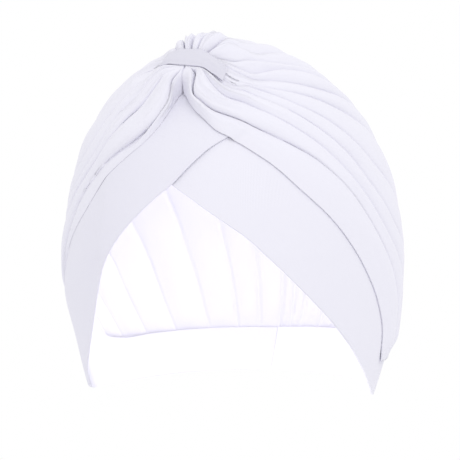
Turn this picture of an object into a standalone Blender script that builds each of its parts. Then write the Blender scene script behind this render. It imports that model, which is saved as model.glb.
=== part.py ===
"""Turban head wrap: a pleated jersey crown in two panels, two crossing front bands and a knot loop.

Sizes are in millimetres here and become metres when a mesh is made. The front faces -Y, the wearer's left is +X
and +Z is up. The origin is the inside top of the crown, where the top of the head sits.
"""

import math

import bmesh
import bpy
import numpy as np

for old in list(bpy.data.objects):
    bpy.data.objects.remove(old, do_unlink=True)

MM = 0.001

# Head form that the wrap is worn on: a rounded egg, wider behind, narrower towards the face
HALF_WIDTH = 74.0
HALF_LENGTH = 95.0
HEIGHT_ABOVE = 100.0
HEIGHT_BELOW = 120.0
WIDEST_Z = -100.0
ROUNDNESS = 2.14
EGG = 0.13
NAPE_TUCK = 80.0
FACE_TAPER = 0.30
SWELL = 3.8
SWELL_TURN, SWELL_TURN_REACH = -80.0, 35.0
SWELL_Z, SWELL_Z_REACH = -113.0, 17.0

# Cloth
BAND_WALL = 1.6
CROWN_WALL = 1.9
KNOT_WALL = 2.6
KNOT_WALL_AWAY = (15.0, 30.0)
LOOP_WALL = 2.0
GAP = 0.35
LAYER_GAP = 0.5
SEAM_GAP = 0.4
NAPE_EASE = 0.7
NAPE_EASE_SHARE = (0.08, 0.22)

# Knot: the point on the front of the head that every pleat starts from
KNOT_LATITUDE = 51.0
KNOT_SIDE = 2.5
MM_PER_RADIAN_SIDE = 80.0
MM_PER_RADIAN_UP = 88.0
BUNDLE_HALF_WIDTH = 16.0
BUNDLE_SHOULDER = 2.4
LOOP_HALF_LENGTH = 16.0
LOOP_HALF_WIDTH = 4.8

# Crown's front edge: degrees round the knot, at each number of degrees away from it
EDGE_AWAY = [0, 7, 12, 17, 23, 28, 38, 53, 64, 81, 96, 105, 112, 180]
EDGE_LEFT = [175, 172, 160, 149, 140, 132, 121, 112, 107, 102, 98, 97, 99, 106]
EDGE_RIGHT = [176, 175, 168, 161, 152, 143, 131, 122, 114, 103, 97, 95, 96, 104]

# Valleys between the folds on each side, as shares of the way from the top line to the front edge
# Columns: place near the knot, halfway, at the back; then the height of the fold below it at those places
PLACES_AWAY = [15, 45, 90]
VALLEYS_LEFT = [
    (0.00, 0.00, 0.00, 3.2, 1.6, 2.2),
    (0.13, 0.13, 0.10, 3.0, 1.5, 2.2),
    (0.26, 0.24, 0.19, 3.2, 1.6, 2.4),
    (0.38, 0.35, 0.28, 2.6, 1.5, 2.2),
    (0.46, 0.41, 0.36, 2.4, 1.5, 2.2),
    (0.54, 0.47, 0.45, 2.2, 1.8, 2.4),
    (0.60, 0.56, 0.54, 1.8, 1.6, 2.2),
    (0.66, 0.64, 0.62, 1.6, 1.4, 2.0),
    (0.70, 0.71, 0.72, 1.6, 1.3, 2.0),
    (0.76, 0.77, 0.80, 2.0, 1.4, 2.0),
    (0.82, 0.84, 0.87, 2.4, 1.6, 1.8),
    (0.885, 0.905, 0.93, 4.4, 2.8, 1.4),
]
VALLEYS_RIGHT = [
    (0.00, 0.00, 0.00, 3.2, 1.6, 2.2),
    (0.12, 0.16, 0.12, 3.0, 1.6, 2.2),
    (0.23, 0.30, 0.24, 2.8, 1.8, 2.4),
    (0.33, 0.44, 0.37, 2.6, 1.6, 2.2),
    (0.42, 0.57, 0.50, 2.4, 1.6, 2.4),
    (0.50, 0.69, 0.62, 2.4, 1.5, 2.2),
    (0.58, 0.79, 0.73, 2.2, 1.4, 2.0),
    (0.67, 0.87, 0.83, 3.4, 1.8, 2.0),
    (0.905, 0.945, 0.94, 4.4, 3.0, 1.4),
]

FOLD_ROUNDNESS = 0.6
FOLDS_START, FOLDS_FULL = 1.5, 8.0

# Under the loop the folds are squeezed flat: how much, and over how many mm up from the knot and degrees away
SQUEEZE = 0.75
SQUEEZE_UP = (5.0, 8.0)
SQUEEZE_AWAY = (16.0, 26.0)

# Gathered bundle at the knot. Columns: mm up the head from the knot, height that the cloth stands up there
BUNDLE = [
    (-42, 0.0), (-30, 0.8), (-20, 2.4), (-12, 4.8), (-7, 6.4), (0, 7.0), (6, 7.2), (9, 9.8),
    (15, 10.6), (22, 7.8), (30, 4.4), (42, 1.6), (55, 0.4), (72, 0.0),
]

# Front bands. Columns: degrees round the head from the front (wearer's left is +), hem height, top edge height
BAND_UNDER = [
    (-24, -46, -38), (-16, -52, -32), (-8, -60, -26), (-2, -66, -23), (3, -70, -23), (9, -74.5, -27),
    (15, -79.5, -34), (23, -86, -41), (31, -93, -46), (40, -103.5, -54), (48, -113, -61), (55, -121, -68),
    (61, -127.5, -74), (68, -135, -84), (74, -141, -92), (81, -148, -103), (88, -154, -114),
    (94, -158.5, -126), (100, -161.5, -134), (106, -163.5, -137), (112, -164, -137), (122, -162.5, -136),
    (136, -159, -134), (150, -156, -133), (165, -154, -132), (179.8, -153, -132),
]
BAND_OVER = [
    (30, -44, -36), (22, -48.5, -31), (16, -53, -27), (9, -60.5, -23), (2, -69, -21), (-4, -74.5, -24),
    (-9, -79.5, -33), (-15, -85.5, -42), (-22, -94, -48), (-28, -104, -53), (-33, -115, -59),
    (-38, -126, -65), (-43, -135, -70), (-49, -143, -76), (-56, -150, -81), (-62, -155.5, -86),
    (-69, -158.5, -91), (-77, -160, -98), (-86, -160.5, -109), (-95, -160, -122), (-104, -159.5, -134),
    (-116, -158.5, -137), (-132, -156.5, -135), (-148, -154.5, -133), (-164, -153.5, -132), (-179.8, -153, -132),
]
OVERLAP_FROM, OVERLAP_TO = -36.0, -28.0
DOUBLED_TURN = (36.0, 46.0)
DOUBLED_BELOW = (12.0, 20.0)
NAPE_Z = -140.0
NAPE_CORNER_DROP = 8.0
NAPE_SEARCH = (100.0, 172.0)
NAPE_HALVINGS = 30

# Facets
CROWN_ROWS = [0, 3, 5, 7, 9, 11, 13.5, 16, 19, 22, 26, 30, 35, 40, 46, 52, 58]
CROWN_ROWS += [65, 72, 79, 86, 93, 100, 107, 114, 121]
FOLD_STEPS = [0.0, 0.2, 0.55, 0.86]
BAND_STEPS = [0.0, 0.2, 0.4, 0.6, 0.8, 1.0]
LOOP_ROWS = 21
LOOP_STEPS = [-1.0, -0.5, 0.0, 0.5, 1.0]
LOOP_ROUNDING = 0.5
LOOP_FEEL_SIDE = (-1.0, 0.0, 1.0)
LOOP_FEEL_UP = np.linspace(-6.0, 6.0, 13)
MERGE = 0.001


def smooth(value, start, end):
    """0 before start, 1 after end, with a soft change between."""
    part = np.clip((np.asarray(value, float) - start) / (end - start), 0.0, 1.0)
    return part * part * (3.0 - 2.0 * part)


def on_form(unit, lift):
    """The point of the head form in this direction of its unit shape, raised by lift along the form's normal."""
    power = ROUNDNESS - 1.0
    height = np.where(unit[..., 2] < 0, HEIGHT_BELOW, HEIGHT_ABOVE)
    slopes = np.stack(
        [
            np.sign(unit[..., 0]) * np.abs(unit[..., 0]) ** power / HALF_WIDTH,
            np.sign(unit[..., 1]) * np.abs(unit[..., 1]) ** power / HALF_LENGTH,
            np.sign(unit[..., 2]) * np.abs(unit[..., 2]) ** power / height,
        ],
        -1,
    )
    normal = slopes / np.linalg.norm(slopes, axis=-1, keepdims=True)
    low = np.clip(-unit[..., 2], 0.0, 1.0)
    front = np.clip(-unit[..., 1], 0.0, 1.0)
    back = np.clip(unit[..., 1], 0.0, 1.0)
    x = HALF_WIDTH * unit[..., 0] * (1.0 + EGG * unit[..., 1])
    y = HALF_LENGTH * (unit[..., 1] + FACE_TAPER * low * front**2) - NAPE_TUCK * low**2 * back**2
    z = WIDEST_Z + height * unit[..., 2]
    turn = np.degrees(np.arctan2(unit[..., 0], -unit[..., 1]))
    beside = (turn - SWELL_TURN) / SWELL_TURN_REACH
    below = (z - SWELL_Z) / SWELL_Z_REACH
    swell = SWELL * np.exp(-(beside**2) - below**2)
    return np.stack([x, y, z], -1) + normal * (np.asarray(lift) + swell)[..., None]


def unit_from_height(turn, height):
    """Direction on the unit shape at this many degrees round the head and this height."""
    turn = np.radians(turn)
    above = np.asarray(height, float) - WIDEST_Z
    share = above / np.where(above < 0, HEIGHT_BELOW, HEIGHT_ABOVE)
    level = np.clip(1.0 - np.abs(share) ** ROUNDNESS, 0.0, 1.0)
    round_about = np.abs(np.sin(turn)) ** ROUNDNESS + np.abs(np.cos(turn)) ** ROUNDNESS
    reach = (level / round_about) ** (1.0 / ROUNDNESS)
    return np.stack([reach * np.sin(turn), -reach * np.cos(turn), share], -1)


def unit_from_knot(away, around):
    """Direction on the unit shape, away degrees from the knot and around degrees about it (0 is upward)."""
    away, around = np.radians(away), np.radians(around)
    latitude = math.radians(KNOT_LATITUDE)
    knot = np.array([0.0, -math.cos(latitude), math.sin(latitude)])
    up_head = np.array([0.0, math.sin(latitude), math.cos(latitude)])
    side = np.array([1.0, 0.0, 0.0])
    across = np.cos(around)[..., None] * up_head + np.sin(around)[..., None] * side
    direction = np.cos(away)[..., None] * knot + np.sin(away)[..., None] * across
    return direction / (np.abs(direction) ** ROUNDNESS).sum(-1, keepdims=True) ** (1.0 / ROUNDNESS)


def around_knot(place, away):
    """Degrees about the knot of a pleat. Its place is -1 at the wearer's right edge and 1 at the left edge."""
    left = np.interp(away, EDGE_AWAY, EDGE_LEFT)
    right = np.interp(away, EDGE_AWAY, EDGE_RIGHT)
    return np.where(place < 0, right, left) * place


def bundle_height(away, around):
    """How far the gathered bundle at the knot lifts the cloth."""
    side = MM_PER_RADIAN_SIDE * np.radians(away) * np.sin(np.radians(around)) - KNOT_SIDE
    up = MM_PER_RADIAN_UP * np.radians(away) * np.cos(np.radians(around))
    rise = np.interp(up, [row[0] for row in BUNDLE], [row[1] for row in BUNDLE])
    return rise * np.exp(-np.abs(side / BUNDLE_HALF_WIDTH) ** BUNDLE_SHOULDER)


def fold_height(place, away):
    """Relief of the pleats: round folds with a narrow valley between each two."""
    table = np.array(VALLEYS_LEFT if place >= 0 else VALLEYS_RIGHT)
    places = [np.interp(away, PLACES_AWAY, row[:3]) for row in table] + [1.0]
    share = min(abs(place), 1.0)
    fold = min(int(np.searchsorted(places, share + 1e-9)) - 1, len(table) - 1)
    within = (share - places[fold]) / (places[fold + 1] - places[fold])
    height = np.interp(away, PLACES_AWAY, table[fold][3:])
    fade = smooth(away, FOLDS_START, FOLDS_FULL)
    up = MM_PER_RADIAN_UP * math.radians(away) * math.cos(math.radians(float(around_knot(place, away))))
    near_loop = (1.0 - smooth(abs(up), *SQUEEZE_UP)) * (1.0 - smooth(away, *SQUEEZE_AWAY))
    round_top = math.sin(math.pi * np.clip(within, 0.0, 1.0)) ** FOLD_ROUNDNESS
    return height * fade * (1.0 - SQUEEZE * near_loop) * round_top


def layers_below(unit):
    """Height of the crown's inner face over the head: it clears the bands that lie beneath it."""
    turn = np.abs(np.degrees(np.arctan2(unit[..., 0], -unit[..., 1])))
    height = WIDEST_Z + HEIGHT_ABOVE * unit[..., 2]
    doubled = (1.0 - smooth(turn, *DOUBLED_TURN)) * smooth(-height, *DOUBLED_BELOW)
    ease = NAPE_EASE * smooth(-unit[..., 2], *NAPE_EASE_SHARE)
    return BAND_WALL + LAYER_GAP + ease + (BAND_WALL + LAYER_GAP) * doubled


def crown_lifts(place, away):
    """Inner and outer height of the crown over the head at one point of one pleat."""
    around = around_knot(np.float64(place), away)
    unit = unit_from_knot(np.float64(away), np.float64(around))
    wall = KNOT_WALL + (CROWN_WALL - KNOT_WALL) * float(smooth(away, *KNOT_WALL_AWAY))
    inner = layers_below(unit) + bundle_height(away, around) + fold_height(place, away)
    return unit, float(inner), float(inner + wall)


def nape_reach(place):
    """Degrees from the knot at which this pleat meets the nape band."""
    near, far = NAPE_SEARCH
    for _ in range(NAPE_HALVINGS):
        middle = (near + far) / 2.0
        unit = unit_from_knot(middle, around_knot(np.float64(place), middle))
        if on_form(unit, np.float64(BAND_WALL + LAYER_GAP))[2] > NAPE_Z - NAPE_CORNER_DROP * place**2:
            near = middle
        else:
            far = middle
    return near


def fold_columns(sign):
    """Columns of one panel: each fold has a valley, a rise, a crest and a drop, from the seam to the front edge."""
    folds = len(VALLEYS_LEFT if sign > 0 else VALLEYS_RIGHT)
    columns = [(sign, fold, step) for fold in range(folds) for step in FOLD_STEPS]
    return columns + [(sign, folds - 1, 1.0)]


def place_of(column, away):
    """Place of a column at this distance from the knot, as the fold's valleys wander."""
    sign, fold, step = column
    table = VALLEYS_LEFT if sign > 0 else VALLEYS_RIGHT
    start = np.interp(away, PLACES_AWAY, table[fold][:3])
    end = np.interp(away, PLACES_AWAY, table[fold + 1][:3]) if fold + 1 < len(table) else 1.0
    return sign * (start + (end - start) * step)


def stretch(row, reach):
    """Degrees from the knot of a row, so that the last row ends where the pleat does."""
    last = CROWN_ROWS[-1]
    return row * (1.0 + (reach / last - 1.0) * (row / last) ** 2)


def crown_grids(sign):
    """Outer and inner faces of one panel of the crown, kept half a seam's gap clear of the centre line."""
    outer, inner = [], []
    columns = fold_columns(sign)
    reaches = [nape_reach(place_of(column, CROWN_ROWS[-1])) for column in columns]
    for row in CROWN_ROWS:
        outside, inside = [], []
        for column, reach in zip(columns, reaches):
            away = stretch(row, reach)
            unit, low, high = crown_lifts(place_of(column, away), away)
            inside.append(on_form(unit, np.float64(low)))
            outside.append(on_form(unit, np.float64(high)))
        outer.append(outside)
        inner.append(inside)
    seam = np.array([sign * SEAM_GAP / 2.0, 0.0, 0.0])
    return np.array(outer) + seam, np.array(inner) + seam


def band_sheet(rows, is_over):
    """Inner face of a front band, row by row round the head."""
    sheet = []
    for turn, hem, top in rows:
        lift = (BAND_WALL + LAYER_GAP) * float(smooth(turn, OVERLAP_FROM, OVERLAP_TO)) if is_over else 0.0
        heights = np.array([hem + (top - hem) * step for step in BAND_STEPS])
        unit = unit_from_height(np.full(len(heights), float(turn)), heights)
        sheet.append(on_form(unit, np.full(len(heights), lift)))
    return np.array(sheet)


def place_at(away, around):
    """Place on the crown of a point given about the knot."""
    left = np.interp(away, EDGE_AWAY, EDGE_LEFT)
    right = np.interp(away, EDGE_AWAY, EDGE_RIGHT)
    return float(np.clip(around / (left if around >= 0 else right), -1.0, 1.0))


def loop_seat(side, up):
    """Direction and the crown's outer height at this many mm beside and up from the knot."""
    across, along = side / MM_PER_RADIAN_SIDE, up / MM_PER_RADIAN_UP
    away = math.degrees(math.hypot(across, along))
    around = math.degrees(math.atan2(across, along))
    return unit_from_knot(np.float64(away), np.float64(around)), crown_lifts(place_at(away, around), away)[2]


def loop_sheet():
    """Inner face of the loop, which arches from side to side just clear of the bundle's highest fold."""
    sheet = []
    for step in np.linspace(-1.0, 1.0, LOOP_ROWS):
        side = KNOT_SIDE + LOOP_HALF_LENGTH * step
        seats = [loop_seat(side + a, b)[1] for a in LOOP_FEEL_SIDE for b in LOOP_FEEL_UP]
        units = [loop_seat(side, LOOP_HALF_WIDTH * across)[0] for across in LOOP_STEPS]
        sheet.append([on_form(unit, np.float64(max(seats) + GAP)) for unit in units])
    return np.array(sheet)


def add_sheet(cloth, grid):
    """An open sheet in this mesh: a grid with its corners moved to the points. Returns the edges of its rim."""
    rows, columns = grid.shape[:2]
    made = bmesh.ops.create_grid(cloth, x_segments=columns - 1, y_segments=rows - 1, size=1.0)
    for vertex, point in zip(made["verts"], grid.reshape(-1, 3)):
        vertex.co = point * MM
    return [edge for edge in cloth.edges if edge.is_boundary and edge.verts[0] in set(made["verts"])]


def cloth_material(name, colour, roughness):
    material = bpy.data.materials.new(name + "_cloth")
    material.use_nodes = True
    shader = material.node_tree.nodes["Principled BSDF"]
    shader.inputs["Base Color"].default_value = (*colour, 1.0)
    shader.inputs["Roughness"].default_value = roughness
    return material


def link_piece(name, cloth, colour, roughness):
    """An object of its own for this piece of cloth, with its own material."""
    mesh = bpy.data.meshes.new(name)
    cloth.to_mesh(mesh)
    cloth.free()
    mesh.shade_smooth()
    mesh.materials.append(cloth_material(name, colour, roughness))
    piece = bpy.data.objects.new(name, mesh)
    wrap.objects.link(piece)
    return piece


def face_outward(cloth):
    """Turns an open sheet so that its faces look away from the head."""
    middle = cloth.faces[:][len(cloth.faces) // 2]
    inside = np.array([0.0, 0.0, WIDEST_Z]) * MM
    if np.dot(np.array(middle.calc_center_median()) - inside, np.array(middle.normal)) < 0:
        bmesh.ops.reverse_faces(cloth, faces=cloth.faces[:])


def make_strip(name, sheet, wall, colour, roughness, rounding):
    """A strip of cloth: its inner face, given its wall outward by Solidify and soft edges by Bevel."""
    cloth = bmesh.new()
    add_sheet(cloth, sheet)
    bmesh.ops.recalc_face_normals(cloth, faces=cloth.faces[:])
    face_outward(cloth)
    piece = link_piece(name, cloth, colour, roughness)
    solidify = piece.modifiers.new("Wall", "SOLIDIFY")
    solidify.thickness = wall * MM
    solidify.offset = 1.0
    if rounding:
        bevel = piece.modifiers.new("Soft edge", "BEVEL")
        bevel.width = rounding * MM
        bevel.segments = 2
        bevel.limit_method = "ANGLE"
    return piece


def make_loft(name, outer, inner, colour, roughness):
    """A sheet whose folds and wall change along it: its outer and inner grids, bridged round the rim."""
    cloth = bmesh.new()
    rim = add_sheet(cloth, outer) + add_sheet(cloth, inner)
    bmesh.ops.bridge_loops(cloth, edges=rim)
    bmesh.ops.remove_doubles(cloth, verts=cloth.verts[:], dist=MERGE * MM)
    bmesh.ops.recalc_face_normals(cloth, faces=cloth.faces[:])
    return link_piece(name, cloth, colour, roughness)


wrap = bpy.data.collections.new("turban_head_wrap")
bpy.context.scene.collection.children.link(wrap)

make_loft("crown_panel_left", *crown_grids(1.0), (0.82, 0.81, 0.90), 0.85)
make_loft("crown_panel_right", *crown_grids(-1.0), (0.82, 0.81, 0.90), 0.85)
make_strip("front_band_over", band_sheet(BAND_OVER, True), BAND_WALL, (0.80, 0.79, 0.89), 0.82, 0.0)
make_strip("front_band_under", band_sheet(BAND_UNDER, False), BAND_WALL, (0.81, 0.80, 0.89), 0.82, 0.0)
make_strip("knot_loop", loop_sheet(), LOOP_WALL, (0.78, 0.77, 0.87), 0.82, LOOP_ROUNDING)
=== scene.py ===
# %% [markdown]
# # A pleated turban wrap in stretch jersey
# The wrap is one soft cap: a pleated crown that gathers into a knot at the front, two smooth bands that
# cross on the forehead, and a small loop of cloth that hides where the pleats start.
# The solid model of it is loaded first. Each of its plain cloth solids is then replaced by a finer sheet.

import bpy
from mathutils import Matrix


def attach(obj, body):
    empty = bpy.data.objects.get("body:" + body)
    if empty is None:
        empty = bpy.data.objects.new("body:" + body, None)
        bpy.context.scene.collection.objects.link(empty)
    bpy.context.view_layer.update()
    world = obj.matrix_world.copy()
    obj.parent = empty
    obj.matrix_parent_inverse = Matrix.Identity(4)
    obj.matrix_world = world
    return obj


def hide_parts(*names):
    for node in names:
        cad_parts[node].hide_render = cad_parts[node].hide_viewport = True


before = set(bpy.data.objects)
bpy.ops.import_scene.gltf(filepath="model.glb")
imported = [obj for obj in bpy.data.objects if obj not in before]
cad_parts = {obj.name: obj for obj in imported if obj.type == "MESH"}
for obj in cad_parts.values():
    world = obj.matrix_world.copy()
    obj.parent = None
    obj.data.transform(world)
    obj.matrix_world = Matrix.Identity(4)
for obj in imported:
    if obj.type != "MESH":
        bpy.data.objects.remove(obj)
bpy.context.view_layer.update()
print("nodes:", sorted(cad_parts))

# %% Libraries and units
import math

import bpy
import numpy as np
from mathutils import Vector, noise

MM = 0.001
# The wearer's sides, as the sign of x
LEFT, RIGHT = 1, -1
bpy.ops.object.select_all(action="DESELECT")

# %% [markdown]
# ## Smooth curves from short tables
# The edges and pleats of sewn cloth run in slow curves. They could be drawn as Bezier curves, but here they
# steer other shapes, so they are short tables of measured values. A cubic curve through a table has no
# corners. Straight lines between the values would show as flat facets in soft light.


# %% Curves and soft steps
def curve(x, xs, ys):
    """A smooth curve through the points of a table."""
    xs, ys = np.asarray(xs, float), np.asarray(ys, float)
    slope = np.gradient(ys, xs)
    x = np.clip(x, xs[0], xs[-1])
    at = np.clip(np.searchsorted(xs, x, side="right") - 1, 0, len(xs) - 2)
    width = xs[at + 1] - xs[at]
    t = (x - xs[at]) / width
    start = (1 + 2 * t) * (1 - t) ** 2 * ys[at] + t * (1 - t) ** 2 * width * slope[at]
    return start + t * t * (3 - 2 * t) * ys[at + 1] + t * t * (t - 1) * width * slope[at + 1]


def smooth(value, start, end):
    """0 before start, 1 after end, with a soft change between."""
    part = np.clip((np.asarray(value, float) - start) / (end - start), 0.0, 1.0)
    return part * part * (3.0 - 2.0 * part)


print("a quarter of the way is", smooth(0.25, 0, 1), "and halfway is", smooth(0.5, 0, 1))

# %% [markdown]
# ## The head form
# Stretch cloth takes the shape of what it is pulled over. Here that is a rounded egg: wider behind,
# narrower towards the face, tucked in at the nape. It could be sculpted, but a formula also gives the way
# outward at every point. So each piece is laid on it at a height of its own, and layers never cross.

# %% Head form
HALF_WIDTH, HALF_LENGTH = 74.0, 95.0
# The widest level, from the top of the head, and how far the form reaches above and below it
WIDEST_Z, HEIGHT_ABOVE, HEIGHT_BELOW = -100.0, 100.0, 120.0
# A plain ellipse has roundness 2, and more is squarer. Egg widens the back, the tuck pulls the nape forward
# in mm, and the taper draws the lower face back.
ROUNDNESS, EGG, NAPE_TUCK, FACE_TAPER = 2.14, 0.13, 80.0, 0.30
# A low swell on the wearer's right: its height, then its place and reach round the head and up it
SWELL, SWELL_TURN, SWELL_TURN_REACH, SWELL_Z, SWELL_Z_REACH = 3.8, -80.0, 35.0, -113.0, 17.0


def turn_of(unit):
    """Degrees round the head from the front, more than 0 on the wearer's left."""
    return np.degrees(np.arctan2(unit[..., 0], -unit[..., 1]))


def reach_up(above):
    """How far the form reaches up or down, for places above and below its widest level."""
    return np.where(above < 0, HEIGHT_BELOW, HEIGHT_ABOVE)


def on_form(unit, lift):
    """The point of the form in this direction of its unit shape, raised by lift along the form's normal."""
    height = reach_up(unit[..., 2])
    size = np.stack([np.full_like(height, HALF_WIDTH), np.full_like(height, HALF_LENGTH), height], -1)
    slopes = np.sign(unit) * np.abs(unit) ** (ROUNDNESS - 1.0) / size
    normal = slopes / np.linalg.norm(slopes, axis=-1, keepdims=True)
    low = np.clip(-unit[..., 2], 0.0, 1.0)
    front, back = np.clip(-unit[..., 1], 0.0, 1.0), np.clip(unit[..., 1], 0.0, 1.0)
    x = HALF_WIDTH * unit[..., 0] * (1.0 + EGG * unit[..., 1])
    y = HALF_LENGTH * (unit[..., 1] + FACE_TAPER * low * front**2) - NAPE_TUCK * low**2 * back**2
    z = WIDEST_Z + height * unit[..., 2]
    beside = ((turn_of(unit) - SWELL_TURN) / SWELL_TURN_REACH) ** 2
    swell = np.exp(-beside - ((z - SWELL_Z) / SWELL_Z_REACH) ** 2)
    return np.stack([x, y, z], -1) + normal * (np.asarray(lift) + SWELL * swell)[..., None]


print("inside top of the crown:", on_form(np.array([0.0, 0.0, 1.0]), 0.0).round(2), "mm")

# %% [markdown]
# ## Two ways to name a place on the form
# The bands run round the head, so a place on them is a turn and a height. The pleats run away from the
# knot, so a place on the crown is a distance from the knot and an angle about it, as on a map drawn round
# a pole. Plain x, y and z would work too, but then every point would have to be put back onto the form.

# %% Places on the form
KNOT_LATITUDE = math.radians(51.0)
KNOT = np.array([0.0, -math.cos(KNOT_LATITUDE), math.sin(KNOT_LATITUDE)])
UP_HEAD = np.array([0.0, math.sin(KNOT_LATITUDE), math.cos(KNOT_LATITUDE)])
SIDE = np.array([1.0, 0.0, 0.0])


def unit_from_height(turn, height):
    """Direction on the unit shape at this many degrees round the head and this height."""
    turn = np.radians(turn)
    above = np.asarray(height, float) - WIDEST_Z
    share = above / reach_up(above)
    level = np.clip(1.0 - np.abs(share) ** ROUNDNESS, 0.0, 1.0)
    round_about = np.abs(np.sin(turn)) ** ROUNDNESS + np.abs(np.cos(turn)) ** ROUNDNESS
    reach = (level / round_about) ** (1.0 / ROUNDNESS)
    return np.stack([reach * np.sin(turn), -reach * np.cos(turn), share], -1)


def unit_from_knot(away, around):
    """Direction on the unit shape, away degrees from the knot and around degrees about it (0 is upward)."""
    away, around = np.radians(away), np.radians(around)
    across = np.cos(around)[..., None] * UP_HEAD + np.sin(around)[..., None] * SIDE
    direction = np.cos(away)[..., None] * KNOT + np.sin(away)[..., None] * across
    return direction / (np.abs(direction) ** ROUNDNESS).sum(-1, keepdims=True) ** (1.0 / ROUNDNESS)


knot_direction = unit_from_knot(np.array(0.0), np.array(0.0))
print("the knot is at", on_form(knot_direction, 0.0).round(1), "mm")

# %% [markdown]
# ## The bands' hems
# The two bands run from the nape, round under the ears and up over the forehead. A straight strip bent
# round the form would wander off it, so each band is drawn by its hem and its top edge. The tables come
# before the crown, because the crown lies on the bands: on one at the sides and on both where they cross.

# %% Band tables
# Columns: degrees round the head from the front, hem height, top edge height
BAND_UNDER = [
    (-24, -46, -38), (-16, -52, -32), (-8, -60, -26), (-2, -66, -23), (3, -70, -23), (9, -74.5, -27),
    (15, -79.5, -34), (23, -86, -41), (31, -93, -46), (40, -103.5, -54), (48, -113, -61), (55, -121, -68),
    (61, -127.5, -74), (68, -135, -84), (74, -141, -92), (81, -148, -103), (88, -154, -114),
    (94, -158.5, -126), (100, -161.5, -134), (106, -163.5, -137), (112, -164, -137), (122, -162.5, -136),
    (136, -159, -134), (150, -156, -133), (165, -154, -132), (179.93, -153, -132),
]
BAND_OVER = [
    (30, -44, -36), (22, -48.5, -31), (16, -53, -27), (9, -60.5, -23), (2, -69, -21), (-4, -74.5, -24),
    (-9, -79.5, -33), (-15, -85.5, -42), (-22, -94, -48), (-28, -104, -53), (-33, -115, -59),
    (-38, -126, -65), (-43, -135, -70), (-49, -143, -76), (-56, -150, -81), (-62, -155.5, -86),
    (-69, -158.5, -91), (-77, -160, -98), (-86, -160.5, -109), (-95, -160, -122), (-104, -159.5, -134),
    (-116, -158.5, -137), (-132, -156.5, -135), (-148, -154.5, -133), (-164, -153.5, -132),
    (-179.93, -153, -132),
]


def band_columns(table):
    """Turns, hem heights and top edge heights of a band, in order of turn."""
    return tuple(np.array(column, float) for column in zip(*sorted(table)))


for name, table in (("under", BAND_UNDER), ("over", BAND_OVER)):
    turns, hems, tops = band_columns(table)
    print("the", name, "band spans", (tops - hems).min(), "to", (tops - hems).max(), "mm of height")

# %% [markdown]
# ## Layers at each place
# The bands lie on the head and the crown lies on the bands. Under the loop the pleats bunch up into a
# bundle. It is highest just behind the loop, where the cloth is set free and puffs up to the wearer's left.
# A cloth simulation could find these heights, but each change would move all of them. Written as heights
# over the form, each layer stays where it is put and can be set one by one.

# %% Layers
# Heights over the form in mm: the bands' outer face, and what the over band adds where it lies on the other
BAND_FACE, LAYER = 1.5, 1.02
# The crown steps up where it lies on both: over these degrees on the wearer's right and left, these mm from
# the over band's hem, and these mm below the top of the head
STEP_RIGHT, STEP_LEFT, STEP_HEM, STEP_DOWN = (-36.4, -28.4), (27.0, 36.0), (-3.4, -0.8), (12.0, 20.0)


def bands_below(unit):
    """Height of the bands' outer face over the form, in this direction."""
    turn = turn_of(unit)
    height = WIDEST_Z + reach_up(unit[..., 2]) * unit[..., 2]
    turns, hems, _ = band_columns(BAND_OVER)
    crossed = smooth(turn, *STEP_RIGHT) * (1.0 - smooth(turn, *STEP_LEFT))
    on_over = smooth(height - curve(turn, turns, hems), *STEP_HEM)
    return BAND_FACE + LAYER * crossed * on_over * smooth(-height, *STEP_DOWN)


print("the bands reach", BAND_FACE, "mm over the form, and", BAND_FACE + LAYER, "mm where they cross")

# %% The bundle at the knot
# Cloth between two directions from the middle of the form that are a radian apart, sideways and upward
MM_PER_RADIAN_SIDE, MM_PER_RADIAN_UP = 80.0, 88.0
# Its height at places up from the knot, its middle beside the knot, which moves over at the puff behind the
# loop, its reach to each side and how square its shoulders are
BUNDLE_UP = [-42, -30, -20, -12, -7, 0, 5, 8, 12, 17, 24, 31, 42, 55, 72]
BUNDLE_RISE = [0, 0.8, 2.2, 4.4, 6.2, 7.2, 7.4, 8.0, 9.8, 9.8, 5.2, 2.2, 1.0, 0.3, 0]
BUNDLE_SIDE, PUFF_SIDE, PUFF_UP = 2.5, 5.0, (4.0, 14.0)
BUNDLE_RIGHT, BUNDLE_LEFT, BUNDLE_SHOULDER = 20.0, 17.0, 3.0


def flat_place(away, around):
    """Millimetres beside and up from the knot, measured over the cloth."""
    side = MM_PER_RADIAN_SIDE * np.radians(away) * np.sin(np.radians(around))
    return side, MM_PER_RADIAN_UP * np.radians(away) * np.cos(np.radians(around))


def bundle_height(side, up):
    """How far the gathered bundle at the knot lifts the cloth."""
    middle = BUNDLE_SIDE + (PUFF_SIDE - BUNDLE_SIDE) * smooth(up, *PUFF_UP)
    reach = np.where(side < middle, BUNDLE_RIGHT, BUNDLE_LEFT)
    return curve(up, BUNDLE_UP, BUNDLE_RISE) * np.exp(-np.abs((side - middle) / reach) ** BUNDLE_SHOULDER)


print("bundle at the knot:", bundle_height(np.array(0.0), np.array(0.0)).round(1), "mm high")

# %% [markdown]
# ## Where the folds run
# Each valley between two folds is a line that leaves the knot and wanders over the head. The lines could be
# drawn on the form one by one. As rows of a table they can be compared, which keeps two of them from
# crossing. A row below is one valley: its angle about the knot at each distance from the knot. The last
# line on each side is the crown's edge.

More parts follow.
